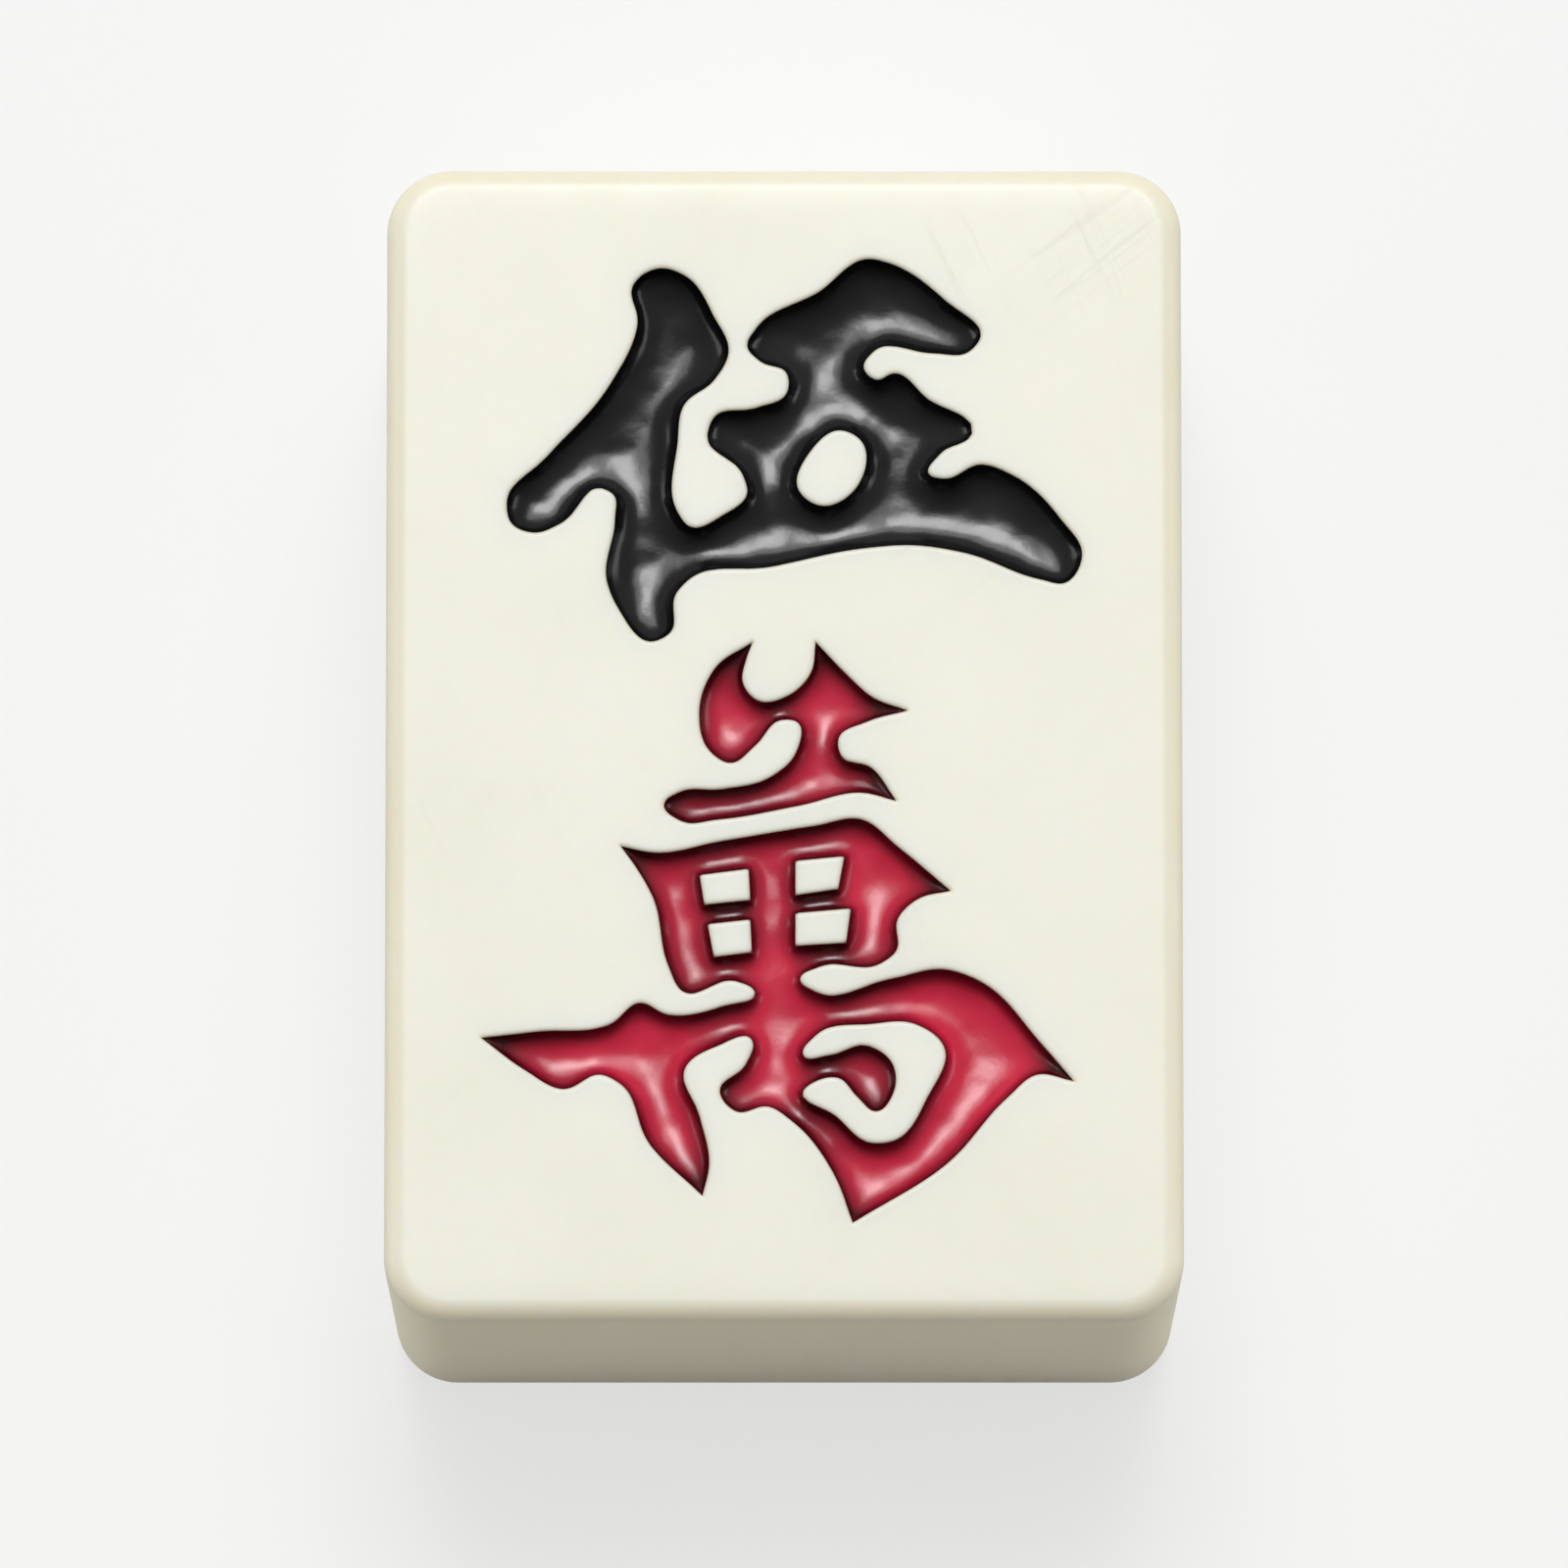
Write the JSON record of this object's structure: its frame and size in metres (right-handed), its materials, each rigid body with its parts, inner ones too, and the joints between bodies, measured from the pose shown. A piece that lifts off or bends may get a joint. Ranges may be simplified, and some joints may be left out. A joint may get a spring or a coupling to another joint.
{
  "type": "mahjong tile",
  "caption": "Solid ivory-coloured block with rounded edges, engraved with a numeral in black over the characters suit sign in red; lies, stacks or stands on its foot.",
  "frame": {"origin": "middle of the back, the side the tile lies on when it is face up", "axes": "+X to the right of the numeral, +Y to its head, +Z out of the face"},
  "size_m": [0.025, 0.0364, 0.019],
  "materials": {
    "ivory_melamine": "polished",
    "black_paint": "gloss paint in a groove",
    "red_paint": "gloss paint in a groove"
  },
  "bodies": {
    "root": {"tile_body": "ivory_melamine", "numeral_paint": "black_paint", "suit_upper_paint": "red_paint", "suit_lower_paint": "red_paint"}
  },
  "joints": []
}
